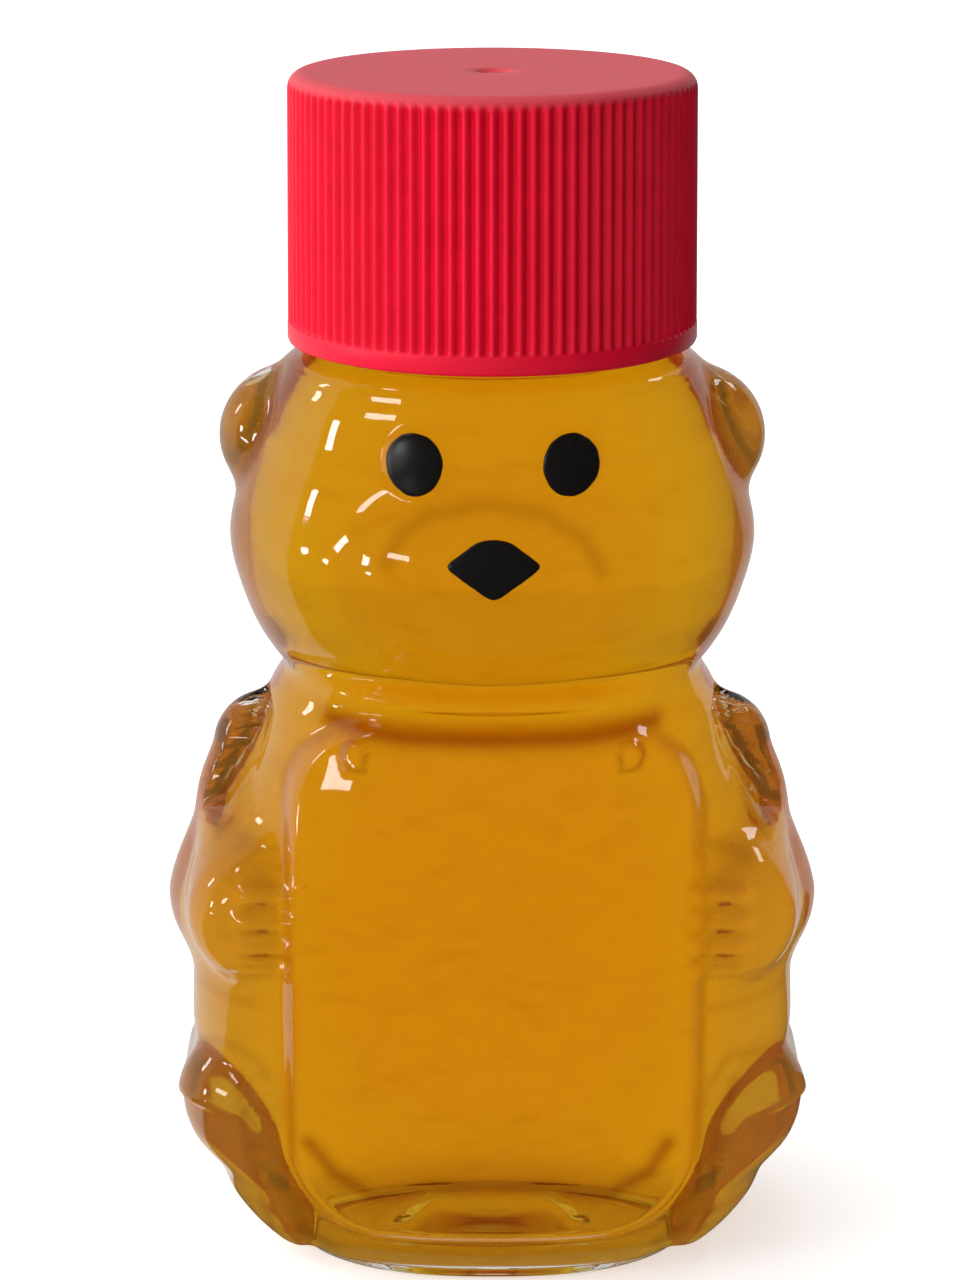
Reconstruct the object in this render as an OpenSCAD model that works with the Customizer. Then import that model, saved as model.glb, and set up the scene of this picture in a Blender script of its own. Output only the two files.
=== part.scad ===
// Honey bear bottle: a small blow-moulded PET bear with a ribbed screw cap.
// Millimetres, +Z up, origin at the centre of the base, the bear faces -Y.

/* [Body] */
// Height of the groove between head and body
groove_z = 40; // [38:0.5:43]
// Width across the waist, between arms and knees
body_w = 40.7; // [38:0.1:43]
// Depth of the body across the belly
body_d = 31.2; // [28:0.1:34]
// Width of the foot of the body
base_w = 28.4; // [26:0.1:30]
// Depth of the foot of the body
base_d = 26.4; // [24:0.1:28]
// Width across the groove under the chin
groove_w = 27.8; // [26:0.1:29]
// Depth across the groove under the chin
groove_d = 24.8; // [23:0.1:26]
// How far the collar roll stands out of the groove, front and back
collar_rise = 1.4; // [0.8:0.1:1.8]
// Wall of the blown shell
wall = 0.7; // [0.55:0.05:0.8]
// Height of the push-up in the middle of the base
push_up = 2.6; // [1.8:0.1:3.2]

/* [Head] */
// Height of the head from the groove to the neck finish
head_h = 21; // [20.4:0.1:22]
// Width of the head over the cheeks
head_w = 34.9; // [32:0.1:36.5]
// Depth of the head behind the muzzle
head_d = 30.4; // [28:0.1:32]
// Width over the two ears
ears_w = 36.2; // [35:0.1:37.5]
// Radius of an ear seen from the front
ear_r = 5; // [4.4:0.1:5.4]
// Height of the middle of the ears over the groove
ear_up = 14.9; // [14:0.1:15.4]
// How far the muzzle stands out from the axis
muzzle_y = 17.3; // [16.5:0.1:18]
// Half width of the muzzle
muzzle_r = 8.9; // [7.5:0.1:9.5]

/* [Limbs] */
// Width over the two elbows
arms_w = 43.2; // [42:0.1:46]
// Height of the elbows
elbow_z = 23.6; // [22.5:0.1:25]
// Width over the two knees
knees_w = 42.8; // [41:0.1:45]
// Height of the knees
knee_z = 10.6; // [9.5:0.1:12]
// Fingers on each hand
fingers = 4; // [3:1:5]
// Distance from finger to finger
finger_pitch = 1.73; // [1.5:0.01:1.9]
// How far a finger stands out of the hand
finger_rise = 0.4; // [0.2:0.05:0.6]
// Depth of the slot between chest and upper arm
slot_depth = 0.4; // [0.2:0.05:0.5]

/* [Panel] */
// Width of the raised belly panel
panel_w = 26.6; // [24:0.1:28]
// Height of the belly panel
panel_h = 34.4; // [31:0.1:35.5]
// Corner radius of the panel
panel_r = 6; // [4:0.1:8]
// How far the panel stands out of the belly
panel_rise = 1; // [0.4:0.05:1.2]
// Width of the slope around the panel
panel_slope = 1.6; // [1:0.1:2]
// How far the middle of the panel lies over half the body's height
panel_up = 1.2; // [0.5:0.1:2]
// Distance between the two moulded buttons
buttons_w = 17.6; // [15:0.1:19]
// Radius of a button
button_r = 1.15; // [0.8:0.05:1.4]
// How far a button stands out of the panel
button_rise = 0.5; // [0.3:0.05:0.6]

/* [Face] */
// Distance between the middles of the eyes
eyes_w = 9.9; // [9:0.1:11]
// Height of the middle of the eyes over the groove
eye_up = 16; // [15.2:0.1:16.4]
// Width of a printed eye
eye_w = 3.5; // [3:0.1:3.8]
// Height of a printed eye
eye_h = 3.8; // [3.3:0.1:4]
// How far the moulded eyes stand out
eye_rise = 0.55; // [0.3:0.05:0.7]
// Width of the printed nose
nose_w = 6.15; // [5:0.05:7]
// Height of the printed nose
nose_h = 3.8; // [3:0.1:4.4]
// Height of the middle of the nose over the groove
nose_up = 10.2; // [9.5:0.1:10.8]
// Thickness of the printed ink, drawn thicker than a real print
ink = 0.12; // [0.08:0.01:0.2]

/* [Neck] */
// Outer diameter of the neck, without its thread
neck_d = 21.3; // [20.5:0.1:21.8]
// Bore of the neck
bore_d = 17.8; // [16.5:0.1:18.4]
// Height of the neck finish above the head
neck_h = 15.5; // [15.2:0.1:17]

/* [Cap] */
// Outer diameter of the cap at its top
cap_d = 26.6; // [26:0.1:28]
// Height of the cap
cap_h = 17.5; // [16.5:0.1:18]
// Draft: how much wider in radius the cap is at its lower edge
cap_draft = 0.13; // [0:0.01:0.2]
// Clear width inside the skirt
skirt_bore_d = 24.4; // [24.2:0.1:24.8]
// Thickness of the top
cap_top = 1.5; // [1.2:0.1:2]
// Number of grip ribs
ribs = 96; // [72:4:108]
// Depth of a grip rib
rib_depth = 0.35; // [0.2:0.01:0.45]
// Height of the plain band under the ribs
band_h = 1.25; // [0.8:0.05:2]
// Rounding of the top edge
cap_edge = 1.2; // [0.8:0.05:1.4]
// Thickness of the foam liner
liner_t = 1; // [0.8:0.1:1.2]
// Diameter of the moulding mark in the middle of the top
gate_d = 2.2; // [1.5:0.1:3]
// Depth of the moulding mark
gate_depth = 0.25; // [0.1:0.05:0.5]

/* [Honey] */
// How far the honey stands above the foot of the neck
honey_rise = 2.8; // [1:0.1:6]
// Clearance between the honey and the wall
honey_gap = 0.12; // [0.08:0.01:0.2]

/* [Hidden] */
$fn = 96;

// Levels that several pieces share
shoulder_z = groove_z + head_h;
chin_z = groove_z + 0.06 * head_h;
ear_z = groove_z + ear_up;
eye_z = groove_z + eye_up;
nose_z = groove_z + nose_up;
panel_z = groove_z / 2 + panel_up;
rim_z = shoulder_z + neck_h;
liner_top_z = rim_z + liner_t;
cap_top_z = liner_top_z + cap_top;
cap_foot_z = cap_top_z - cap_h;
cap_foot_r = cap_d / 2 + cap_draft;
liner_clear = 0.9;
ink_gap = 0.03;

// Half sizes of the trunk's leading sections
waist_a = body_w / 2;
belly_b = body_d / 2;
foot_a = base_w / 2;
foot_b = base_d / 2;
groove_a = groove_w / 2;
groove_b = groove_d / 2;
cheek_a = head_w / 2;
cheek_b = head_d / 2;
top_r = neck_d / 2 + 1.55;

// A value that lies the share t of the way from a to b
function between(a, b, t) = a + (b - a) * t;

// Sections of the trunk from foot to neck: height, half width, half depth
trunk = [
    [0, foot_a - 0.8, foot_b - 0.8],
    [0.03 * groove_z, foot_a + 0.5, foot_b + 0.4],
    [0.1 * groove_z, between(foot_a, waist_a, 0.34), between(foot_b, belly_b, 0.58)],
    [0.225 * groove_z, between(foot_a, waist_a, 0.65), between(foot_b, belly_b, 0.83)],
    [0.3625 * groove_z, waist_a - 0.05, belly_b - 0.1],
    [0.4375 * groove_z, waist_a, belly_b],
    [0.525 * groove_z, waist_a - 0.25, belly_b],
    [0.6 * groove_z, waist_a - 0.75, belly_b],
    [0.75 * groove_z, between(waist_a, groove_a, 0.39), belly_b - 0.4],
    [0.875 * groove_z, between(waist_a, groove_a, 0.72), belly_b - 1.1],
    [0.955 * groove_z, between(waist_a, groove_a, 0.86), between(belly_b, groove_b, 0.625)],
    [0.98 * groove_z, between(waist_a, groove_a, 0.95), groove_b + collar_rise - 0.4],
    [groove_z, groove_a, groove_b + collar_rise],
    [chin_z, between(groove_a, cheek_a, 0.27), groove_b],
    [groove_z + 0.1 * head_h, between(groove_a, cheek_a, 0.42), between(groove_b, cheek_b, 0.3)],
    [groove_z + 0.24 * head_h, between(groove_a, cheek_a, 0.79), between(groove_b, cheek_b, 0.86)],
    [groove_z + 0.405 * head_h, cheek_a, cheek_b],
    [groove_z + 0.57 * head_h, cheek_a - 0.65, cheek_b - 0.3],
    [groove_z + 0.765 * head_h, between(cheek_a, top_r, 0.41), between(cheek_b, top_r, 0.37)],
    [groove_z + 0.925 * head_h, between(cheek_a, top_r, 0.66), between(cheek_b, top_r, 0.57)],
    [groove_z + 0.972 * head_h, between(cheek_a, top_r, 0.79), between(cheek_b, top_r, 0.7)],
    [shoulder_z, top_r, top_r]
];

// How square the sections are: height, exponent of the superellipse
squareness = [
    [0, 2.5], [0.5 * groove_z, 2.7], [0.95 * groove_z, 2.3], [groove_z + 1, 2.15], [shoulder_z, 2]
];

// Outline that the feet and knees keep inside: height, half width, half depth
heel = [
    [0, foot_a + 0.4, foot_b],
    [0.13 * knee_z, foot_a + 2.1, foot_b + 1.5],
    [0.34 * knee_z, foot_a + 4, foot_b + 2.4],
    [0.53 * knee_z, foot_a + 4.9, foot_b + 3.1],
    [0.75 * knee_z, foot_a + 6.8, foot_b + 3.7],
    [1.08 * knee_z, foot_a + 7.7, foot_b + 4.3]
];
heel_power = 2.4;

// Smooth curve through rows of [height, values]
function span_of(rows, z, i = 0) = i > len(rows) - 3 || z < rows[i + 1][0] ? i : span_of(rows, z, i + 1);
function rise(rows, i, c) = (rows[i + 1][c] - rows[i][c]) / (rows[i + 1][0] - rows[i][0]);
function lean(rows, i, c) =
    i == 0 ? rise(rows, 0, c)
    : i == len(rows) - 1 ? rise(rows, i - 1, c)
    : let(below = rows[i][0] - rows[i - 1][0], above = rows[i + 1][0] - rows[i][0])
        (rise(rows, i - 1, c) * above + rise(rows, i, c) * below) / (below + above);
function curve(rows, height, c) =
    let(
        z = max(rows[0][0], min(rows[len(rows) - 1][0], height)),
        i = span_of(rows, z),
        h = rows[i + 1][0] - rows[i][0],
        t = (z - rows[i][0]) / h
    )
    (2 * t ^ 3 - 3 * t ^ 2 + 1) * rows[i][c] + (t ^ 3 - 2 * t ^ 2 + t) * h * lean(rows, i, c)
    + (3 * t ^ 2 - 2 * t ^ 3) * rows[i + 1][c] + (t ^ 3 - t ^ 2) * h * lean(rows, i + 1, c);

// Rounded volumes, each the distance of p from its surface, negative inside
function ball(p, c, r) =
    let(
        q = [(p.x - c.x) / r.x, (p.y - c.y) / r.y, (p.z - c.z) / r.z],
        k = norm(q),
        g = norm([q.x / r.x, q.y / r.y, q.z / r.z])
    )
    k * (k - 1) / max(g, 0.001);
function limb(p, a, b, ra, rb) =
    let(d = b - a, t = max(0, min(1, (p - a) * d / (d * d)))) norm(p - a - t * d) - ra - (rb - ra) * t;
function blend(a, b, k) = let(h = max(k - abs(a - b), 0) / k) min(a, b) - h * h * k / 4;
function ease(t) = let(s = max(0, min(1, t))) s * s * (3 - 2 * s);
function section_gap(p, a, b, n) =
    (((abs(p.x) / a) ^ n + (abs(p.y) / b) ^ n) ^ (1 / n) - 1) * min(a, b);

// Places and radii of the lobes on the +X side
ear = [ears_w / 2 - ear_r, 0.5, ear_z];
ear_size = [ear_r, ear_r - 0.6, ear_r - 0.2];
muzzle_size = [muzzle_r, 8.3, 7];
muzzle = [0, muzzle_size.y - muzzle_y, groove_z + 8.5];
elbow_r = 5.7;
elbow = [arms_w / 2 - elbow_r, -1, elbow_z];
shoulder_r = 3.6;
shoulder = [elbow.x - 0.7, 0, elbow_z + 10.1];
hand = [elbow.x - 0.7, -9.4, elbow_z + 1.4];
hand_r = 4.7;
knee_r = 5.4;
knee = [knees_w / 2 - knee_r - 0.4, -6.6, knee_z];
foot = [knee.x - 1.4, -7.6, knee_z - 5.6];
foot_r = 4.6;
hip = [knee.x + 0.3, 3.5, knee_z - 0.8];
wrist_r = 5.5;

// Fillets where the lobes meet the trunk and each other
muzzle_fillet = 1.2;
ear_fillet = 0.9;
elbow_fillet = 1.6;
arm_fillet = 1;
knee_fillet = 1;
leg_fillet = 0.5;
heel_fillet = 0.8;

// Relief on the front, as height over the plain volumes
function box_gap(u, v, hu, hv, r) =
    let(q = [abs(u) - hu + r, abs(v) - hv + r])
    norm([max(q.x, 0), max(q.y, 0)]) + min(max(q.x, q.y), 0) - r;
function panel_relief(x, z) =
    panel_rise * ease(0.5 - box_gap(x, z - panel_z, panel_w / 2, panel_h / 2, panel_r) / panel_slope);
function button_relief(x, z) =
    button_rise * ease((button_r - norm([x - buttons_w / 2, z - panel_z - panel_h / 2 + 1.7])) / 0.5);
function eye_relief(x, z) =
    let(u = (x - eyes_w / 2) / (eye_w / 2 + 0.3), v = (z - eye_z) / (eye_h / 2 + 0.3))
    eye_rise * sqrt(max(0, 1 - u * u - v * v));
fingers_z = hand.z - 0.2;
fingers_x = hand.x - 0.4;
finger_half = 2.4;
function finger_relief(x, z) =
    let(
        row = (z - fingers_z) / finger_pitch + fingers / 2,
        ends = ease(row / 0.3) * ease((fingers - row) / 0.3),
        sides = ease((finger_half - abs(x - fingers_x)) / 1.2)
    )
    finger_rise * (0.5 - 0.5 * cos(360 * row)) * ends * sides;
slot = [shoulder + [0.1, 0, 3.5], shoulder + [1.1, 0, 1], shoulder + [3, 0, -2.5]];
slot_half = 0.95;
function strip_gap(x, z, a, b) = limb([x, 0, z], a, b, 0, 0);
function slot_relief(x, z) =
    let(gap = min(strip_gap(x, z, slot[0], slot[1]), strip_gap(x, z, slot[1], slot[2])))
    -slot_depth * ease(1 - gap / slot_half);
function fine_relief(x, y, z) =
    z > groove_z ? eye_relief(x, z)
    : button_relief(x, z) + finger_relief(x, z) + slot_relief(x, z);
function relief(x, y, z, fine) =
    y > 0 ? 0
    : (z > groove_z ? 0 : panel_relief(x, z)) + (fine ? fine_relief(x, y, z) : 0);

// The bear: s holds what only depends on the height, [z, trunk a, b, exponent, heel a, b]
function section_at(z) = [
    z, curve(trunk, z, 1), curve(trunk, z, 2), curve(squareness, z, 1),
    curve(heel, z, 1), curve(heel, z, 2)
];
function head_gap(p, s) =
    blend(
        blend(section_gap(p, s[1], s[2], s[3]), ball(p, muzzle, muzzle_size), muzzle_fillet),
        ball(p, ear, ear_size), ear_fillet);
function arm_gap(p) =
    blend(
        limb(p, shoulder, elbow, shoulder_r, elbow_r),
        limb(p, elbow, hand, wrist_r, hand_r), elbow_fillet);
function leg_gap(p) =
    blend(limb(p, knee, foot, knee_r, foot_r), limb(p, knee, hip, knee_r, knee_r), knee_fillet);
function torso_gap(p, s) = blend(section_gap(p, s[1], s[2], s[3]), arm_gap(p), arm_fillet);
function seated_gap(p, s) = blend(torso_gap(p, s), leg_gap(p), leg_fillet);
function lower_gap(p, s) = -blend(-seated_gap(p, s), -section_gap(p, s[4], s[5], heel_power), heel_fillet);
function bear_gap(p, s, fine) =
    (s[0] > groove_z + 1.5 ? head_gap(p, s)
    : s[0] > knee_z + knee_r + 2.7 ? torso_gap(p, s)
    : s[0] > 1.08 * knee_z ? seated_gap(p, s)
    : lower_gap(p, s)) - relief(p.x, p.y, p.z, fine);

// Walk inwards along the direction u to where the bear's surface, moved out by level, lies.
// The fine relief is on the mould's side of the wall alone, so a negative level leaves it out.
function reach(u, s, level, r, steps) =
    steps == 0 ? r
    : let(gap = bear_gap([u.x * r, u.y * r, s[0]], s, level >= 0) - level)
        reach(u, s, level, max(2, r - 0.8 * gap), steps - 1);
outer_start = arms_w / 2 + 2;
walk = 20;

// Half ring on the +X side, from the front at 0 degrees to the back at 180, closed by its mirror image
fine_to = 96;
function angles(fine, coarse) = [
    for (i = [0:fine - 1]) between(0, fine_to, i / fine),
    for (i = [0:coarse]) between(fine_to, 180, i / coarse)
];
function half_ring(angle, z, level) =
    let(s = section_at(z))
    [for (t = angle)
        let(u = [sin(t), -cos(t)], r = reach(u, s, level, outer_start, walk)) [u.x * r, u.y * r, z]];
function closed(half) =
    concat(half, [for (i = [len(half) - 2:-1:1]) [-half[i].x, half[i].y, half[i].z]]);
function ring(angle, z, level) = closed(half_ring(angle, z, level));

// Underside from the middle out: share of the foot's outline, height over the ground
underside = [
    [0.12, push_up], [0.27, push_up - 0.1], [0.34, push_up - 1.1], [0.6, 0.45 * push_up],
    [0.78, 0.2 * push_up], [0.86, -0.35], [0.93, -0.35]
];

// Ring of the underside: the foot's outline shrunk to the share, a plain ellipse towards the middle
function underside_ring(foot_ring, share, z) =
    let(outline = ease((share - 0.35) / 0.55))
    [for (p = foot_ring)
        let(plain = 1 / norm([p.x / foot_a, p.y / foot_b]), k = share * (outline + plain * (1 - outline)))
            [p.x * k, p.y * k, z]];

// Solid between a pole under the base and a flat top, through the rings of points
module lofted(pole, rings) {
    n = len(rings[0]);
    last = len(rings) - 1;
    faces = concat(
        [for (i = [0:n - 1]) [0, 1 + i, 1 + (i + 1) % n]],
        [for (k = [0:last - 1], i = [0:n - 1])
            let(a = 1 + k * n + i, b = 1 + k * n + (i + 1) % n) each [[a, a + n, b + n], [a, b + n, b]]],
        [[for (i = [n - 1:-1:0]) 1 + last * n + i]]
    );
    polyhedron(points = concat([pole], [for (r = rings) each r]), faces = faces);
}

// Heights of the rings, closer where fingers, collar and face need them
function stack(low, high, n) = [for (i = [0:n - 1]) between(low, high, i / n)];
foot_top = 3;
knee_top = knee_z + 6;
hand_half = fingers * finger_pitch / 2;
outer_heights = concat(
    [0.35, 0.9, 1.7],
    stack(foot_top, knee_top, 9),
    stack(knee_top, fingers_z - hand_half, 4),
    [for (i = [0:2 * fingers]) fingers_z - hand_half + i * finger_pitch / 2],
    stack(fingers_z + hand_half + 0.9, groove_z - 3, 6),
    [for (d = [-3, -2.3, -1.6, -1, -0.4, 0.2]) groove_z + d],
    [for (d = [-0.4, 0, 0.4]) chin_z + d],
    stack(chin_z + 0.9, eye_z - 2.75, 7),
    stack(eye_z - 2.75, shoulder_z - 1.7, 5),
    [for (d = [-1.7, -0.8, 0]) shoulder_z + d]
);
inner_heights = concat(
    stack(foot_top + 0.6, hand.z - 6.2, 7),
    stack(hand.z - 6.2, groove_z - 8, 10),
    [for (d = [-8, -5.7, -3.8, -2.2, -1, 0]) groove_z + d],
    stack(chin_z, shoulder_z - 1.5, 9)
);
collar_drop = 0.6;
outer_angles = angles(20, 7);
inner_angles = angles(15, 6);

// The whole bear, closed at the base and under the neck
module bear_outside() {
    foot_ring = ring(outer_angles, outer_heights[0], 0);
    lofted(
        [0, 0, push_up - 0.3],
        concat(
            [for (u = underside) underside_ring(foot_ring, u[0], u[1])],
            [foot_ring],
            [for (i = [1:len(outer_heights) - 1]) ring(outer_angles, outer_heights[i], 0)]
        )
    );
}

// The same form, moved in from the wall, with the floor over the push-up
floor_extra = 0.3;
module bear_inside(inset) {
    floor_t = inset + floor_extra;
    foot_ring = ring(inner_angles, floor_t + 1.2, -inset);
    lofted(
        [0, 0, push_up + floor_t],
        concat(
            [for (u = underside) if (u[0] < 0.8) underside_ring(foot_ring, u[0], u[1] + floor_t)],
            [underside_ring(foot_ring, 0.85, floor_t + 0.4)],
            [foot_ring],
            [for (z = inner_heights) ring(inner_angles, z, -inset)],
            [ring(inner_angles, shoulder_z - collar_drop - inset, -inset)]
        )
    );
}

// Blown shell with the exact neck and bore, cut flat where it stands
neck_foot = 1;
bore_foot = 2.5;
module bottle() {
    color([0.93, 0.9, 0.84])
    difference() {
        union() {
            bear_outside();
            translate([0, 0, shoulder_z - neck_foot]) cylinder(d = neck_d, h = neck_h + neck_foot);
        }
        bear_inside(wall);
        translate([0, 0, shoulder_z - bore_foot]) cylinder(d = bore_d, h = neck_h + bore_foot + 1);
        translate([-arms_w, -arms_w, -foot_top]) cube([2 * arms_w, 2 * arms_w, foot_top]);
    }
}

// Honey, a little clear of the wall, standing up into the neck
module honey() {
    color([0.86, 0.55, 0.05])
    union() {
        bear_inside(wall + honey_gap);
        translate([0, 0, shoulder_z - bore_foot])
        cylinder(r = bore_d / 2 - honey_gap, h = bore_foot + honey_rise);
    }
}

// Outline of the ribbed grip: each rib is a rounded crest between two flutes
rib_points = [for (i = [0:ribs * 4 - 1])
    let(share = [0, 0.55, 1, 0.55][i % 4], t = 90 * i / ribs, r = cap_foot_r - rib_depth + rib_depth * share)
    [r * cos(t), r * sin(t)]];

module cap() {
    color([0.85, 0.06, 0.15])
    difference() {
        union() {
            translate([0, 0, cap_foot_z])
            intersection() {
                linear_extrude(cap_h) polygon(rib_points);
                rotate_extrude() cap_outline();
            }
            translate([0, 0, cap_foot_z])
            cylinder(r1 = cap_foot_r, r2 = cap_foot_r - cap_draft * band_h / cap_h, h = band_h);
        }
        translate([0, 0, cap_foot_z - 1]) cylinder(d = skirt_bore_d, h = cap_h - cap_top + 1);
        translate([0, 0, cap_top_z - gate_depth]) cylinder(d = gate_d, h = 1);
    }
}

// Half section of the cap's outside, with its rounded top edge and its draft
module cap_outline() {
    polygon(concat(
        [[0, 0], [cap_foot_r, 0]],
        [for (t = [0:10:90])
            [cap_d / 2 - cap_edge + cap_edge * cos(t), cap_h - cap_edge + cap_edge * sin(t)]],
        [[0, cap_h]]
    ));
}

module cap_liner() {
    color([0.95, 0.95, 0.93])
    translate([0, 0, rim_z]) cylinder(r = skirt_bore_d / 2 - liner_clear, h = liner_t);
}

// Ink on the bear's front: a skin of even thickness inside an outline
function front_y(x, z, level, y, steps) =
    steps == 0 ? y
    : front_y(x, z, level, y + 0.8 * (bear_gap([x, y, z], section_at(z), true) - level), steps - 1);
function skin_point(x, z, level) = [x, front_y(abs(x), z, level, -muzzle_y - 2, walk), z];
function skin_layer(x, z, outline, level) = concat(
    [skin_point(x, z, level)],
    [for (share = [0.5, 1], o = outline) skin_point(x + o.x * share, z + o.y * share, level)]
);
module ink_skin(x, z, outline) {
    n = len(outline);
    m = 1 + 2 * n;
    layer = [for (i = [0:n - 1]) let(j = (i + 1) % n) each [
        [0, 1 + i, 1 + j], [1 + i, 1 + n + i, 1 + n + j], [1 + i, 1 + n + j, 1 + j]
    ]];
    edge = [for (i = [0:n - 1]) let(a = 1 + n + i, b = 1 + n + (i + 1) % n) each [
        [a, m + a, m + b], [a, m + b, b]
    ]];
    polyhedron(
        points = concat(skin_layer(x, z, outline, ink_gap), skin_layer(x, z, outline, ink_gap + ink)),
        faces = concat(layer, [for (f = layer) [m + f[0], m + f[2], m + f[1]]], edge)
    );
}

function oval(w, h, n) = [for (i = [0:n - 1]) [w / 2 * cos(360 * i / n), h / 2 * sin(360 * i / n)]];

// Fan-shaped nose: the rounded meeting of five edges, each [direction, distance from the middle]
nose_top = 0.42 * nose_h;
nose_side = 0.29 * nose_w;
nose_edges = [[90, nose_top], [53, nose_side], [127, nose_side], [-55, nose_side], [-125, nose_side]];
nose_power = 8;
function nose_reach(t, i = 0) = i == len(nose_edges) ? 0
    : (max(0, cos(t - nose_edges[i][0])) / nose_edges[i][1]) ^ nose_power + nose_reach(t, i + 1);
function nose_point(t) = let(r = nose_reach(t) ^ (-1 / nose_power)) [r * cos(t), r * sin(t)];
nose_outline = [for (i = [0:23]) nose_point(15 * i)];

module left_eye() {
    color([0.05, 0.05, 0.05]) ink_skin(-eyes_w / 2, eye_z, oval(eye_w, eye_h, 18));
}
module right_eye() {
    color([0.05, 0.05, 0.05]) ink_skin(eyes_w / 2, eye_z, oval(eye_w, eye_h, 18));
}
module nose() {
    color([0.05, 0.04, 0.04]) ink_skin(0, nose_z, nose_outline);
}

bottle();
cap();
cap_liner();
honey();
left_eye();
right_eye();
nose();
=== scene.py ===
"""Honey bear bottle: a clear blown bear full of honey under a red ribbed screw cap.

Shapes are worked out in millimetres and stored in metres. +Z is up, the bear faces -Y.
"""
import math

import bpy
import numpy as np
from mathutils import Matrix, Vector


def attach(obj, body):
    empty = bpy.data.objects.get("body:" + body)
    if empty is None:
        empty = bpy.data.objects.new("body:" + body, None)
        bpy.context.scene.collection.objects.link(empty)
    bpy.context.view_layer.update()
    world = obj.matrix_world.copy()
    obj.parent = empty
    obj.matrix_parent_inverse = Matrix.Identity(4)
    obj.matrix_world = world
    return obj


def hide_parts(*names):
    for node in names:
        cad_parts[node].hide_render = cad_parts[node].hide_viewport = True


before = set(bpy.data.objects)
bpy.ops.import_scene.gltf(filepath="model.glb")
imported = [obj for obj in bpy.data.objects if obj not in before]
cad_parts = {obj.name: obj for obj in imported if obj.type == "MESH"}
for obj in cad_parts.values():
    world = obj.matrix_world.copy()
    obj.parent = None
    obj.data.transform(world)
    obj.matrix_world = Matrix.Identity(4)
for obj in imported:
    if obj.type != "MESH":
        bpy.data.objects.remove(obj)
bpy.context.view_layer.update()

MM = 0.001
TAU = 2 * math.pi

# Levels of the bottle, in millimetres: belly groove, top of the head, rim of the neck, knees, elbows
GROOVE_Z = 40.0
SHOULDER_Z = 61.0
RIM_Z = 76.5
KNEE_Z = 10.6
ELBOW_Z = 23.6
# Radii of the neck, its bore, the head's flat top and the rim's rounding
NECK_R = 10.65
BORE_R = 8.9
TOP_R = 12.2
LIP_R = 0.25
# Thickness of the wall and the floor, height of the push-up and half sizes of its plain ellipse
WALL = 0.7
FLOOR_WALL = 1.0
PUSH_UP = 2.6
FOOT_A, FOOT_B = 14.2, 13.2
# Where the underside ends outside and inside, where the wall's inside ends above, and the bore's flare
FOOT_EDGE_Z = 0.35
INNER_FOOT_Z = 2.6
INNER_TOP_Z = 59.7
BORE_FOOT = [(BORE_R, 61.8), (BORE_R + 0.1, 60.7)]
# Level of the honey, its gap to the wall and its climb at the wall
HONEY_TOP = 63.8
HONEY_FILM = 0.02
MENISCUS = 0.35

# Cap: levels and radii outside and inside, grip ribs and the plain band under them
CAP_TOP_Z = 79.0
CAP_FOOT_Z = 61.5
CAP_R = 13.3
CAP_FOOT_R = 13.43
CAP_BORE_R = 12.2
CAP_CEILING_Z = 77.5
RIBS = 96
RIB_DEPTH = 0.35
BAND_H = 1.25
# Screw thread: pitch, turns, height of its start over the ground
PITCH = 3.175
THREAD_TURNS = 1.5
THREAD_Z = 66.2

# Trunk stations: height, half width, half depth
TRUNK = np.array([
    (0.0, 13.4, 12.4), (1.2, 14.7, 13.6), (4.0, 16.29, 14.6), (9.0, 18.2, 15.19), (14.5, 20.3, 15.5),
    (17.5, 20.35, 15.6), (21.0, 20.1, 15.6), (24.0, 19.6, 15.6), (30.0, 17.83, 15.2), (35.0, 15.69, 14.5),
    (38.2, 14.8, 13.5), (39.2, 14.2, 13.3), (40.0, 13.9, 13.8), (41.26, 14.86, 12.4), (42.1, 15.4, 13.24),
    (45.04, 16.7, 14.81), (48.5, 17.45, 15.2), (51.97, 16.8, 14.9), (56.07, 15.3, 14.09), (59.42, 13.98, 13.49),
    (60.41, 13.3, 13.1), (SHOULDER_Z, TOP_R, TOP_R)])
# Squareness of the sections: height, exponent
SQUARENESS = np.array([(0.0, 2.5), (20.0, 2.7), (38.0, 2.3), (41.0, 2.15), (SHOULDER_Z, 2.0)])
# Outline that feet and knees keep inside: height, half width, half depth
HEEL = np.array([
    (0.0, 14.6, 13.2), (1.38, 16.3, 14.7), (3.6, 18.2, 15.6), (5.62, 19.1, 16.3), (7.95, 21.0, 16.9),
    (11.45, 21.9, 17.5)])
HEEL_POWER = 2.4


def curve(rows, z, column):
    """Smooth curve through the rows (height, values): cubic Hermite pieces whose slopes are the
    length-weighted means of the two neighbouring chords."""
    heights, values = rows[:, 0], rows[:, column]
    span = np.diff(heights)
    chord = np.diff(values) / span
    lean = np.empty_like(values)
    lean[1:-1] = (chord[:-1] * span[1:] + chord[1:] * span[:-1]) / (span[:-1] + span[1:])
    lean[0], lean[-1] = chord[0], chord[-1]
    z = np.clip(z, heights[0], heights[-1])
    i = np.clip(np.searchsorted(heights, z, side="right") - 1, 0, len(heights) - 2)
    h = span[i]
    t = (z - heights[i]) / h
    return ((2 * t ** 3 - 3 * t ** 2 + 1) * values[i] + (t ** 3 - 2 * t ** 2 + t) * h * lean[i]
            + (3 * t ** 2 - 2 * t ** 3) * values[i + 1] + (t ** 3 - t ** 2) * h * lean[i + 1])


def blend(a, b, k):
    """Smaller of two distances, with a fillet of size k where they meet."""
    h = np.maximum(k - np.abs(a - b), 0) / k
    return np.minimum(a, b) - h * h * k / 4


def ease(t):
    """Smooth step from 0 to 1: 3t^2 - 2t^3."""
    t = np.clip(t, 0, 1)
    return t * t * (3 - 2 * t)


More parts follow.
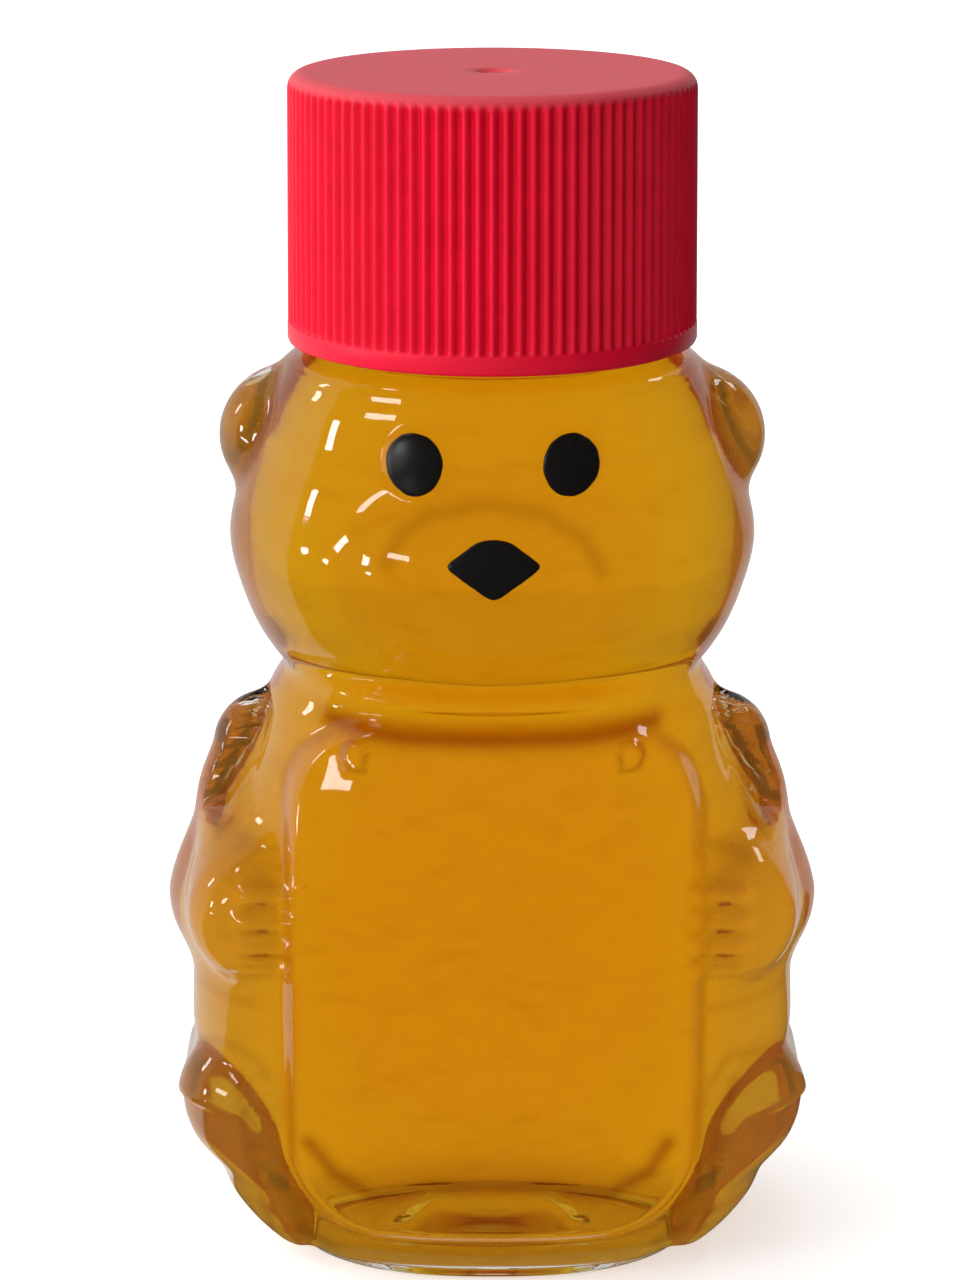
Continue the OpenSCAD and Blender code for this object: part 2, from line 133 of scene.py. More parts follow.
def ball(x, y, z, centre, radii):
    """Distance to an ellipsoid: k(k - 1)/g, where k is the length of p over the radii and g its gradient."""
    px, py, pz = (x - centre[0]) / radii[0], (y - centre[1]) / radii[1], (z - centre[2]) / radii[2]
    k = np.sqrt(px * px + py * py + pz * pz)
    g = np.sqrt((px / radii[0]) ** 2 + (py / radii[1]) ** 2 + (pz / radii[2]) ** 2)
    return k * (k - 1) / np.maximum(g, 1e-6)


def limb(x, y, z, a, b, ra, rb):
    """Distance to a rounded limb: nearest point on the segment a-b, with a radius that goes from ra to rb."""
    d = np.subtract(b, a)
    t = np.clip(((x - a[0]) * d[0] + (y - a[1]) * d[1] + (z - a[2]) * d[2]) / (d @ d), 0, 1)
    return np.sqrt((x - a[0] - t * d[0]) ** 2 + (y - a[1] - t * d[1]) ** 2
                   + (z - a[2] - t * d[2]) ** 2) - ra - (rb - ra) * t


def section(x, y, a, b, power):
    """Distance to a superellipse of half sizes a and b."""
    s = (np.abs(x / a) ** power + np.abs(y / b) ** power) ** (1 / power)
    return (s - 1) * np.minimum(a, b)


def plate(u, v, half_u, half_v, r):
    """Distance to the outline of a rectangle with corner radius r."""
    qu, qv = np.abs(u) - half_u + r, np.abs(v) - half_v + r
    return np.hypot(np.maximum(qu, 0), np.maximum(qv, 0)) + np.minimum(np.maximum(qu, qv), 0) - r


# Lobes on the +X side: centres and half sizes, and the joints of the limbs
EAR, EAR_SIZE = (13.1, 0.5, 54.9), (5.0, 4.4, 4.8)
MUZZLE, MUZZLE_SIZE = (0.0, -9.0, 48.5), (10.8, 8.3, 7.8)
ELBOW = (15.9, -1.0, ELBOW_Z)
SHOULDER = (15.2, 0.0, ELBOW_Z + 10.1)
HAND = (15.2, -9.4, ELBOW_Z + 1.4)
CROOK = (16.0, -2.0, ELBOW_Z + 7.2)
KNEE = (15.6, -6.6, KNEE_Z)
FOOT = (14.2, -7.6, KNEE_Z - 5.6)
HIP = (15.9, 3.5, KNEE_Z - 0.8)
# Radii of the limbs at both ends
UPPER_ARM, FORE_ARM, CROOK_ROLL = (3.6, 5.7), (5.5, 4.7), (3.4, 4.2)
SHIN, THIGH = (5.4, 4.6), (5.4, 5.4)

# Relief: the belly panel, the slot behind the arm, the buttons, the eyes' domes and the fingers
PANEL_W, PANEL_H, PANEL_R, PANEL_Z = 26.6, 34.4, 6.0, 21.2
PANEL_SLOPE = 1.25
SLOT_DEPTH, SLOT_HALF = 1.1, 0.95
BUTTON_X, BUTTON_Z, BUTTON_R, BUTTON_H = 8.8, 36.7, 1.05, 0.5
EYE_X, EYE_Z = 4.95, 56.0
DOME_A, DOME_B, DOME_H = 2.05, 2.2, 0.55
FINGERS, FINGER_PITCH, FINGER_HALF, FINGER_H = 4, 1.73, 2.4, 0.4


def strip(u, v, a, b):
    """Distance to the straight line from a to b in the plane of the front."""
    du, dv = b[0] - a[0], b[1] - a[1]
    t = np.clip(((u - a[0]) * du + (v - a[1]) * dv) / (du * du + dv * dv), 0, 1)
    return np.hypot(u - a[0] - t * du, v - a[1] - t * dv)


# Slot between chest and upper arm, from the shoulder down to the crook of the elbow: across, height
SLOT = [(15.3, ELBOW_Z + 13.6), (16.3, ELBOW_Z + 11.1), (18.2, ELBOW_Z + 7.6)]
# Outline of a button: a D that stands upright, drawn as a ring of painted shade
BUTTON_RIM = [(8.2, 36.0), (8.2, 37.7), (8.9, 37.7), (9.6, 37.3), (9.7, 36.7), (9.4, 36.2), (8.9, 36.0), (8.2, 36.0)]
# Lines of painted shade on the front of the wall, darker along the relief's edges and creases: strength, half width,
# points (across, height)
PAINTED_SHADE_LINES = [
    (1.0, 0.7, [(-10.5, 38.4), (-8.5, 38.3), (-5.9, 38.1), (-0.2, 38.1), (5.6, 38.1), (8.2, 38.2), (10.5, 38.3)]),
    (0.45, 0.3, [(-9.9, 38.1), (-12.5, 36.3), (-13.6, 34.2), (-13.4, 30.1), (-13.2, 24.1), (-13.2, 16.4), (-13.2, 8.1),
                (-11.9, 5.3), (-10.2, 3.9), (-6.1, 3.6), (6.4, 3.6), (10.8, 3.7), (13.2, 5.9), (13.7, 9.1),
                (13.7, 16.6), (13.7, 27.3), (13.9, 32.7), (12.7, 35.7), (10.2, 38.0)]),
    (0.3, 0.25, [(-10.5, 41.9), (-7.9, 41.4), (-4.0, 41.4), (7.6, 41.4), (10.2, 42.0)]),
    (0.46, 0.55, [(-6.8, 49.9), (-5.8, 51.8), (-3.9, 53.1), (-0.2, 53.8), (3.3, 53.1), (5.8, 51.5), (6.9, 49.5)]),
    (0.6, 0.45, [(-15.5, 36.2), (-16.2, 34.8), (-17.2, 32.9), (-18.0, 31.0), (-18.1, 30.2)]),
    (0.6, 0.45, [(15.9, 36.7), (16.3, 34.5), (17.0, 32.2), (17.7, 30.7)]),
    (0.35, 0.35, [(-16.5, 30.0), (-15.0, 30.0), (-14.1, 29.7), (-13.7, 28.8)]),
    (0.45, 0.45, [(13.5, 30.2), (15.0, 29.9), (16.7, 29.3)]),
    (0.3, 0.35, [(-19.7, 19.1), (-18.0, 19.3), (-15.9, 19.4)]),
    (0.3, 0.35, [(13.9, 19.4), (16.8, 19.3), (19.9, 19.1)]),
    (0.35, 0.35, [(-20.0, 14.8), (-17.7, 16.0), (-15.6, 15.6), (-14.8, 14.4)]),
    (0.35, 0.35, [(19.7, 14.8), (15.6, 15.9), (14.1, 13.8)]),
    (0.45, 0.35, [(-16.8, 13.8), (-16.5, 11.9), (-16.1, 9.1), (-15.5, 5.9), (-14.8, 2.3)]),
    (0.45, 0.35, [(16.0, 13.9), (15.2, 11.3), (14.7, 8.4), (14.4, 5.4), (14.0, 3.0)]),
    (0.5, 0.35, [(-12.8, 59.8), (-13.8, 58.5), (-15.3, 55.7), (-16.4, 53.1)]),
    (0.5, 0.35, [(12.9, 60.0), (13.9, 58.2), (14.8, 55.5), (16.1, 53.4)]),
    (0.9, 0.65, [(-12.0, 10.6), (-10.3, 8.5), (-7.9, 7.3), (-4.1, 8.1), (3.8, 8.1), (7.7, 7.4), (10.3, 8.7),
                (11.5, 10.7)]),
    (0.55, 1.1, [(-2.0, 5.4), (1.5, 5.4)]), (0.7, 0.22, BUTTON_RIM),
    (0.7, 0.22, [(-u, v) for u, v in BUTTON_RIM]),
    (0.55, 0.45, [(-12.8, 3.1), (-11.7, 2.4), (-10.6, 2.0)]),
    (0.55, 0.45, [(10.9, 2.2), (11.8, 2.5), (12.5, 3.3)]),
    (0.45, 0.3, [(-15.6, 28.2), (-14.0, 28.1)]), (0.45, 0.3, [(-15.8, 26.7), (-14.0, 26.7)]),
    (0.45, 0.3, [(-16.1, 25.0), (-14.0, 25.0)]), (0.45, 0.3, [(-15.9, 23.2), (-13.5, 23.3)]),
    (0.35, 0.4, [(13.0, 28.2), (15.9, 28.0)]), (0.35, 0.4, [(13.0, 26.6), (16.1, 26.6)]),
    (0.35, 0.4, [(13.0, 25.0), (16.0, 24.9)]), (0.35, 0.4, [(13.0, 23.3), (15.8, 23.0)])]


def painted_line_shade(points):
    """How dark each point of the wall is painted by the shade lines: the strongest of s exp(-(distance / width)^2)."""
    x, y, z = points.T
    shade = np.zeros(len(points))
    for strength, width, path in PAINTED_SHADE_LINES:
        gap = np.min([strip(x, z, a, b) for a, b in zip(path[:-1], path[1:])], axis=0)
        shade = np.maximum(shade, strength * np.exp(-(gap / width) ** 2))
    return shade * (y < 0)


def broad_relief(ax, z):
    """Relief that the whole wall follows: the belly panel's step and the slots at the shoulders."""
    panel = ease(0.5 - plate(ax, z - PANEL_Z, PANEL_W / 2, PANEL_H / 2, PANEL_R) / PANEL_SLOPE)
    slot = np.minimum(strip(ax, z, SLOT[0], SLOT[1]), strip(ax, z, SLOT[1], SLOT[2]))
    return np.where(z < GROOVE_Z, panel - SLOT_DEPTH * ease(1.0 - slot / SLOT_HALF), 0)


def fine_relief(ax, z):
    """Relief on the outside alone: buttons, eyes and the fingers' waves, each fading at its ends."""
    h = BUTTON_H * ease((BUTTON_R - np.hypot(ax - BUTTON_X, z - BUTTON_Z)) / 0.3)
    u, v = (ax - EYE_X) / DOME_A, (z - EYE_Z) / DOME_B
    h = h + DOME_H * np.sqrt(np.clip(1 - u * u - v * v, 0, 1))
    row = (z - HAND[2] + 0.2) / FINGER_PITCH + FINGERS / 2
    inside = ease(row / 0.3) * ease((FINGERS - row) / 0.3) * ease((FINGER_HALF - np.abs(ax - HAND[0] + 0.4)) / 1.2)
    return h + FINGER_H * (0.5 - 0.5 * np.cos(TAU * row)) * inside * (z < GROOVE_Z)


def bear(x, y, z, fine=True):
    """Signed distance from the bear's outside: trunk of superellipses, blended with muzzle, ears, arms and
    legs, kept inside the heel's outline, plus the relief on the front."""
    ax = np.abs(x)
    d = section(ax, y, curve(TRUNK, z, 1), curve(TRUNK, z, 2), curve(SQUARENESS, z, 1))
    snout = ball(x, y, z, MUZZLE, MUZZLE_SIZE)
    fold = 0.1 * np.exp(-((d - snout) / 1.1) ** 2) * ease((z - 47.5) / 3) * (y < 0)
    d = np.where(z > GROOVE_Z, blend(d, snout, 1.0) + fold, d)
    d = np.where(z > GROOVE_Z, blend(d, ball(ax, y, z, EAR, EAR_SIZE), 0.9), d)
    arm = blend(limb(ax, y, z, SHOULDER, ELBOW, *UPPER_ARM), limb(ax, y, z, ELBOW, HAND, *FORE_ARM), 1.6)
    arm = blend(arm, limb(ax, y, z, CROOK, HAND, *CROOK_ROLL), 1.6)
    d = blend(d, arm, 1.0)
    leg = blend(limb(ax, y, z, KNEE, FOOT, *SHIN), limb(ax, y, z, KNEE, HIP, *THIGH), 1.0)
    d = blend(d, leg, 0.5)
    heel = section(ax, y, curve(HEEL, z, 1), curve(HEEL, z, 2), HEEL_POWER)
    d = np.where(z < HEEL[-1, 0], -blend(-d, -heel, 0.8), d)
    height = broad_relief(ax, z) + (fine_relief(ax, z) if fine else 0)
    return d - np.where(y < 0, height, 0)


# A radius outside the bear everywhere, and the share of the distance that each step towards it goes
REACH, STRIDE = 24.5, 0.75


def rings(angles, heights, level=0.0, fine=True):
    """Points of the surface at each height: along every direction the radius walks inwards from outside
    until the distance equals level."""
    t, z = np.meshgrid(angles, heights)
    sx, sy = np.sin(t), -np.cos(t)
    r = np.full(t.shape, REACH)
    for _ in range(46):
        r = np.clip(r - STRIDE * (bear(sx * r, sy * r, z, fine) - level), 1.0, REACH)
    return np.stack([sx * r, sy * r, z], -1)


def round_rings(angles, profile):
    """Rings of revolution from a profile of (radius, height) rows."""
    r, z = np.array(profile, float).T
    return np.stack([np.outer(r, np.sin(angles)), np.outer(r, -np.cos(angles)),
                     np.repeat(z[:, None], len(angles), 1)], -1)


def around(count, pull=0.3):
    """Directions from the front round to the front again, closer together at the front: t - pull sin t."""
    t = np.arange(count) * TAU / count
    return t - pull * np.sin(t)


def grid_faces(rows, columns, first=0, start_pole=None, end_pole=None):
    """Quads of a grid closed around its columns, with fans of triangles to the poles."""
    i = np.arange(columns)
    j = (i + 1) % columns
    k = first + np.arange(rows - 1)[:, None] * columns
    quads = np.stack([k + i, k + j, k + j + columns, k + i + columns], -1).reshape(-1, 4)
    fans = []
    if start_pole is not None:
        fans.append(np.stack([np.full(columns, start_pole), first + j, first + i], -1))
    if end_pole is not None:
        last = first + (rows - 1) * columns
        fans.append(np.stack([last + i, last + j, np.full(columns, end_pole)], -1))
    return quads, fans


def mesh_piece(name, points, quads, triangles, slots=None):
    """Object from arrays of points in millimetres, quads and triangles, smooth shaded."""
    quads = np.asarray(quads, int).reshape(-1, 4)
    triangles = np.concatenate(triangles) if len(triangles) else np.zeros((0, 3), int)
    mesh = bpy.data.meshes.new(name)
    mesh.vertices.add(len(points))
    mesh.vertices.foreach_set("co", (np.asarray(points, float) * MM).astype(np.float32).ravel())
    loops = np.concatenate([quads.ravel(), triangles.ravel()])
    sizes = np.concatenate([np.full(len(quads), 4), np.full(len(triangles), 3)])
    mesh.loops.add(len(loops))
    mesh.loops.foreach_set("vertex_index", loops.astype(np.int32))
    mesh.polygons.add(len(sizes))
    mesh.polygons.foreach_set("loop_start", np.concatenate([[0], np.cumsum(sizes)[:-1]]).astype(np.int32))
    mesh.polygons.foreach_set("use_smooth", np.ones(len(sizes), bool))
    if slots is not None:
        mesh.polygons.foreach_set("material_index", slots.astype(np.int32))
    mesh.update(calc_edges=True)
    mesh.validate()
    piece = bpy.data.objects.new(name, mesh)
    bpy.context.scene.collection.objects.link(piece)
    return piece


def finish_piece(piece, body, nodes, slot, *materials):
    """Give a piece its materials and its body, and hide the model's parts for the nodes that it stands for. The slot
    is not used.
    """
    for finish in materials:
        piece.data.materials.append(finish)
    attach(piece, body)
    if nodes:
        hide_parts(*nodes)


# Underside from the middle out: share of the foot's outline, height over the ground
UNDERSIDE = np.array([
    (0.0, PUSH_UP), (0.12, PUSH_UP), (0.24, PUSH_UP - 0.05), (0.3, PUSH_UP - 0.5), (0.36, PUSH_UP - 1.15),
    (0.6, 1.15), (0.76, 0.5), (0.85, 0.0), (0.94, 0.0), (1.0, FOOT_EDGE_Z)])


def underside_rings(foot_ring, shares, lift, foot_lift):
    """The foot's outline shrunk to each share, at the height of the underside's curve plus the floor's
    thickness, easing to foot_lift at the outline itself and to a plain ellipse towards the middle."""
    heights = np.maximum(curve(UNDERSIDE, shares, 1), 0) + lift
    heights = heights + (foot_lift - FOOT_EDGE_Z - lift) * ease((shares - 0.78) / 0.22)
    plain = foot_ring * (1 / np.hypot(foot_ring[:, 0] / FOOT_A, foot_ring[:, 1] / FOOT_B))[:, None]
    outline = ease((shares - 0.35) / 0.55)[:, None, None]
    out = (foot_ring * outline + plain * (1 - outline)) * shares[:, None, None]
    out[..., 2] = heights[:, None]
    return out


def outer_heights():
    """Heights of the outside's rings, closest at the fingers, the collar and the face."""
    return np.concatenate([
        np.linspace(FOOT_EDGE_Z, 3, 12, endpoint=False), np.linspace(3, 16.6, 36, endpoint=False),
        np.linspace(16.6, 21, 14, endpoint=False), np.linspace(21, 29, 46, endpoint=False),
        np.linspace(29, 36, 18, endpoint=False), np.linspace(36, 42, 30, endpoint=False),
        np.linspace(42, 53, 30, endpoint=False), np.linspace(53, 58.4, 20, endpoint=False),
        np.linspace(58.4, 60.4, 10, endpoint=False), np.linspace(60.4, SHOULDER_Z, 8)])


def inner_heights():
    """Heights of the rings inside the wall, closest at the collar."""
    return np.concatenate([
        np.linspace(INNER_FOOT_Z, 18, 26, endpoint=False), np.linspace(18, 36, 28, endpoint=False),
        np.linspace(36, 42, 14, endpoint=False), np.linspace(42, INNER_TOP_Z, 26)])


def inner_rings(angles, inset):
    """Rings of the space inside the wall, from the floor up to the foot of the bore. Over the shoulder's ledge,
    where the radius jumps from one point to the next, the outer point takes the smallest radius around it."""
    foot_ring = rings(angles, [INNER_FOOT_Z], -inset, False)[0]
    shares = np.array([0.06, 0.12, 0.18, 0.24, 0.27, 0.3, 0.33, 0.36, 0.42, 0.5, 0.6, 0.68, 0.74, 0.79, 0.84, 0.88,
                       0.92, 0.96])
    floor = underside_rings(foot_ring, shares, FLOOR_WALL + inset - WALL, INNER_FOOT_Z)
    walls = rings(angles, inner_heights(), -WALL, False)
    radius = np.hypot(walls[..., 0], walls[..., 1])
    least = np.minimum(radius, np.minimum(np.roll(radius, 1, 1), np.roll(radius, -1, 1)))
    least[1:-1] = np.min([least[:-2], least[1:-1], least[2:]], axis=0)
    shoulder = ease((walls[..., 2] - 29.0) / 1.5)
    reduced = radius - (radius - least) * ease((radius - least - 1.0) / 0.6) * shoulder - (inset - WALL)
    walls[..., :2] *= (reduced / radius)[..., None]
    return np.concatenate([floor, walls])


# Columns of the honey and of the inside of the wall
COLUMNS = 152


def bottle_shell():
    """Blown wall as one closed skin: up the outside from the middle of the base, over the rim of the neck and
    down the inside. The inside has half as many columns, sewn on at the rim."""
    angles = around(2 * COLUMNS)
    inner_angles = angles[::2]
    foot_ring = rings(angles, [FOOT_EDGE_Z])[0]
    shares = np.array([0.06, 0.12, 0.18, 0.24, 0.26, 0.28, 0.3, 0.32, 0.34, 0.36, 0.42, 0.5, 0.6, 0.7, 0.76, 0.81,
                       0.85, 0.9, 0.94, 0.97])
    fillet = [(NECK_R + 1.2 * (1 - math.sin(t)), SHOULDER_Z + 0.35 * (1 - math.cos(t)))
              for t in np.linspace(0.3, math.pi / 2, 6)]
    rim = [(NECK_R - LIP_R + LIP_R * math.cos(t), RIM_Z - LIP_R + LIP_R * math.sin(t))
           for t in np.linspace(0, math.pi / 2, 5)]
    outside = np.concatenate([
        underside_rings(foot_ring, shares, 0, FOOT_EDGE_Z), rings(angles, outer_heights()),
        round_rings(angles, fillet), round_rings(angles, [(NECK_R, z) for z in np.linspace(62.2, 75.8, 6)]),
        round_rings(angles, rim)])
    bore = [(BORE_R + LIP_R - LIP_R * math.sin(t), RIM_Z - LIP_R + LIP_R * math.cos(t))
            for t in np.linspace(0, math.pi / 2, 5)]
    bore += [(BORE_R, z) for z in np.linspace(75, 64.2, 6)]
    inside = np.concatenate([
        round_rings(inner_angles, [*bore, (BORE_R, HONEY_TOP), *BORE_FOOT]), inner_rings(inner_angles, WALL)[::-1]])
    n, m = len(angles), len(inner_angles)
    outer_rows, inner_rows = len(outside), len(inside)
    first = 1 + outer_rows * n
    points = np.concatenate([[[0, 0, PUSH_UP]], outside.reshape(-1, 3), inside.reshape(-1, 3),
                             [[0, 0, PUSH_UP + FLOOR_WALL]]])
    quads, fans = grid_faces(outer_rows, n, 1, start_pole=0)
    inner_quads, inner_fans = grid_faces(inner_rows, m, first, end_pole=len(points) - 1)
    top = 1 + (outer_rows - 1) * n
    i = np.arange(m)
    a, b, c = top + 2 * i, top + 2 * i + 1, top + (2 * i + 2) % n
    p, q = first + i, first + (i + 1) % m
    seam = [np.stack([a, b, p], -1), np.stack([b, q, p], -1), np.stack([b, c, q], -1)]
    all_quads = np.concatenate([quads, inner_quads])
    triangles = fans + inner_fans + seam
    wetted = np.zeros(len(all_quads) + sum(len(t) for t in triangles), int)
    low = points[all_quads].reshape(-1, 4, 3)[..., 2].mean(1) < HONEY_TOP
    wetted[len(quads):len(all_quads)] = low[len(quads):]
    wetted[len(all_quads) + n:len(all_quads) + n + m] = 1
    shell = mesh_piece("bear_shell", points, all_quads, triangles, wetted)
    # The "fold" attribute holds the painted shade lines, on the outside of the wall only
    shade = shell.data.attributes.new("fold", "FLOAT", "POINT")
    dark = painted_line_shade(points)
    dark[first:] = 0
    shade.data.foreach_set("value", dark.astype(np.float32))
    return shell


def honey_fill():
    """Honey as a closed body a hair inside the wall, with a flat top that climbs a little at the bore."""
    angles = around(COLUMNS)
    r = BORE_R - HONEY_FILM
    neck = [(foot_r - HONEY_FILM, z) for foot_r, z in BORE_FOOT[::-1]] + [(r, HONEY_TOP - 0.5), (r, HONEY_TOP)]
    top = [(r - s, HONEY_TOP - MENISCUS * (1 - math.exp(-s / 0.6))) for s in (0.15, 0.4, 0.8, 1.5, 3, 6)]
    rows = np.concatenate([inner_rings(angles, WALL + HONEY_FILM), round_rings(angles, neck + top)])
    points = np.concatenate([[[0, 0, PUSH_UP + FLOOR_WALL + HONEY_FILM]], rows.reshape(-1, 3),
                             [[0, 0, HONEY_TOP - MENISCUS]]])
    quads, fans = grid_faces(len(rows), COLUMNS, 1, 0, len(points) - 1)
    open_top = np.zeros(len(quads) + 2 * COLUMNS, int)
    open_top[len(quads) - len(top) * COLUMNS:len(quads)] = 1
    open_top[-COLUMNS:] = 1
    return mesh_piece("honey_fill", points, quads, fans, open_top)


def on_front(x, z, level):
    """Depth y at which the bear's front is met from outside, at a height of level over it."""
    y = np.full(np.shape(x), -20.0)
    for _ in range(40):
        y = y + STRIDE * (bear(x, y, z) - level)
    return y


# Thickness of the print and its gap to the plastic
INK_DEPTH, INK_GAP = 0.1, 0.03


def print_piece(name, centre, outline):
    """Print on the front as a closed skin: the outline shrunk to rings, laid on the surface, with a rounded
    edge and a back a hair over the plastic."""
    shares = np.array([0.12, 0.3, 0.5, 0.68, 0.82, 0.92, 0.975, 1.0])
    lift = INK_DEPTH * np.sqrt(1 - np.clip((shares - 0.92) / 0.08, 0, 1) ** 2)
    shares = np.concatenate([[0], shares, shares[-2::-1], [0]])
    lift = np.concatenate([[INK_DEPTH], lift, np.zeros(len(lift))])
    x = centre[0] + shares[:, None] * outline[:, 0]
    z = centre[1] + shares[:, None] * outline[:, 1]
    rows = np.stack([x, on_front(x, z, INK_GAP + lift[:, None]), z], -1)
    points = np.concatenate([rows[0, :1], rows[1:-1].reshape(-1, 3), rows[-1, :1]])
    rows = rows[1:-1]
    quads, fans = grid_faces(len(rows), len(outline), 1, 0, len(points) - 1)
    return mesh_piece(name, points, quads[:, ::-1], [f[:, ::-1] for f in fans])


def oval_outline(width, height, seed):
    """Ellipse whose radius wavers by about one percent, as a pad print does."""
    t = np.linspace(0, TAU, 120, endpoint=False)
    waver = 1 + 0.008 * np.sin(3 * t + seed) + 0.006 * np.sin(7 * t + 2 * seed) + 0.004 * np.sin(13 * t + seed)
    return np.stack([width / 2 * np.cos(t), height / 2 * np.sin(t)], -1) * waver[:, None]


def nose_outline(width=6.3, height=3.85):
    """Rounded meeting of five edges, each given by its direction and distance: 1/r^9 is the sum of
    (cos(t - direction) / distance)^9, with a fine waver."""
    t = np.linspace(0, TAU, 240, endpoint=False)
    edges = [(90, 0.42 * height), (53, 0.29 * width), (127, 0.29 * width), (-55, 0.295 * width),
             (-125, 0.295 * width)]
    total = sum((np.maximum(0, np.cos(t - math.radians(a))) / d) ** 9 for a, d in edges)
    r = total ** (-1 / 9) * (1 + 0.004 * np.sin(9 * t) + 0.003 * np.sin(23 * t + 1))
    return np.stack([r * np.cos(t), r * np.sin(t)], -1)


def cap_shell():
    """Cap as one closed skin: from the mark in the middle of the top over the rounded edge, down the ribbed
    grip and the plain band, and back up the inside. A rib's wave is (0.5 + 0.5 cos)^0.8, 1 on its broad crest
    and 0 in the groove, and the ribs fade out at both ends."""
    angles = np.arange(RIBS * 8) * TAU / (RIBS * 8)
    wave = (0.5 + 0.5 * np.cos(RIBS * angles)) ** 0.8
    edge = 1.0
    mark = [(0.12, -0.1), (0.3, -0.16), (0.42, -0.34), (0.7, -0.36), (0.95, -0.3), (1.12, -0.08), (1.25, 0.0)]
    top = [(r, CAP_TOP_Z + h) for r, h in mark] + [(r, CAP_TOP_Z) for r in (2.2, 4.5, 7.5, 10, 11.6)]
    turn = np.linspace(math.pi / 2, 0, 9)
    over = [(CAP_R - edge + edge * math.cos(t), CAP_TOP_Z - edge + edge * math.sin(t)) for t in turn]
    grip_top, grip_low = CAP_TOP_Z - edge, CAP_FOOT_Z + BAND_H
    side_z = np.concatenate([
        grip_top - np.array([0.12, 0.3, 0.55, 0.9]), np.linspace(grip_top - 2, grip_low + 0.8, 5),
        grip_low + np.array([0.35, 0.15, 0.04, 0.0])])
    side = [(CAP_R + (CAP_FOOT_R - CAP_R) * (grip_top - z) / (grip_top - CAP_FOOT_Z), z) for z in side_z]
    band = [(CAP_FOOT_R + 0.02, grip_low - 0.08), (CAP_FOOT_R + 0.02, CAP_FOOT_Z + 0.25),
            (CAP_FOOT_R - 0.06, CAP_FOOT_Z + 0.06), (CAP_FOOT_R - 0.22, CAP_FOOT_Z)]
    inside = [(CAP_BORE_R + 0.25, CAP_FOOT_Z), (CAP_BORE_R + 0.05, CAP_FOOT_Z + 0.15), (CAP_BORE_R, CAP_FOOT_Z + 0.4),
              (CAP_BORE_R, 68.0), (CAP_BORE_R, 74.0), (CAP_BORE_R, CAP_CEILING_Z - 0.3),
              (CAP_BORE_R - 0.3, CAP_CEILING_Z), (8.0, CAP_CEILING_Z), (3.0, CAP_CEILING_Z)]
    profile = np.array(top + over + side + band + inside)
    depth = np.zeros(len(profile))
    first = len(top)
    count = len(over) + len(side)
    z = profile[first:first + count, 1]
    depth[first:first + count] = RIB_DEPTH * ease((grip_top + 0.62 - z) / 0.75) * ease((z - grip_low + 0.01) / 0.22)
    r = profile[:, 0, None] - depth[:, None] * (1 - wave[None])
    rows = np.stack([r * np.sin(angles), -r * np.cos(angles), np.repeat(profile[:, 1, None], len(angles), 1)], -1)
    points = np.concatenate([[[0, 0, CAP_TOP_Z - 0.08]], rows.reshape(-1, 3), [[0, 0, CAP_CEILING_Z]]])
    quads, fans = grid_faces(len(rows), len(angles), 1, 0, len(points) - 1)
    return mesh_piece("cap_shell", points, quads[:, ::-1], [f[:, ::-1] for f in fans])


def thread(name, root_r, crest_r, z_start, root_h, crest_h):
    """Screw thread: a trapezium carried along a helix, its height fading in and out at the ends. The root
    sinks a little into the wall that it stands on."""
    steps = 220
    t = np.linspace(0, 1, steps)
    fade = ease(t / 0.08) * ease((1 - t) / 0.08)
    angle = TAU * THREAD_TURNS * t
    z = z_start + PITCH * THREAD_TURNS * t
    sink = -0.15 if crest_r > root_r else 0.15
    r_crest = root_r + (crest_r - root_r) * np.maximum(fade, 0.02)
    corners = [(root_r + sink + 0 * t, -root_h / 2), (r_crest, -crest_h / 2), (r_crest, crest_h / 2),
               (root_r + sink + 0 * t, root_h / 2)]
    rows = np.stack([np.stack([r * np.sin(angle), -r * np.cos(angle), z + h], -1) for r, h in corners], 1)
    points = rows.reshape(-1, 3)
    k = np.arange(steps - 1)[:, None] * 4
    i = np.arange(4)
    j = (i + 1) % 4
    quads = np.stack([k + i, k + i + 4, k + j + 4, k + j], -1).reshape(-1, 4)
    ends = np.array([[0, 1, 2, 3], [4 * steps - 1, 4 * steps - 2, 4 * steps - 3, 4 * steps - 4]])
    quads = np.concatenate([quads, ends])
    if crest_r < root_r:
        quads = quads[:, ::-1]
    piece = mesh_piece(name, points, quads, [])
    piece.data.polygons.foreach_set("use_smooth", np.zeros(len(piece.data.polygons), bool))
    return piece


class Value:
    """A socket with arithmetic: each operator adds the Math node that does it."""

    def __init__(self, maker, socket):
        self.maker = maker
        self.socket = socket

    def math(self, operation, *others, swap=False):
        inputs = [self, *others]
        if swap:
            inputs.reverse()
        return self.maker.node("ShaderNodeMath", {"operation": operation}, dict(enumerate(inputs)))

    def __add__(self, other): return self.math("ADD", other)
    def __radd__(self, other): return self.math("ADD", other)
    def __sub__(self, other): return self.math("SUBTRACT", other)
    def __rsub__(self, other): return self.math("SUBTRACT", other, swap=True)
    def __mul__(self, other): return self.math("MULTIPLY", other)
    def __rmul__(self, other): return self.math("MULTIPLY", other)
    def __truediv__(self, other): return self.math("DIVIDE", other)
    def __pow__(self, other): return self.math("POWER", other)

    def absolute(self):
        return self.math("ABSOLUTE")

    def over(self, low, high):
        """0 below low, 1 above high, smooth between; low may be the larger of the two."""
        return self.maker.node("ShaderNodeMapRange", {"interpolation_type": "SMOOTHSTEP"},
                               {"Value": self, "From Min": low, "From Max": high, "To Min": 0.0, "To Max": 1.0})


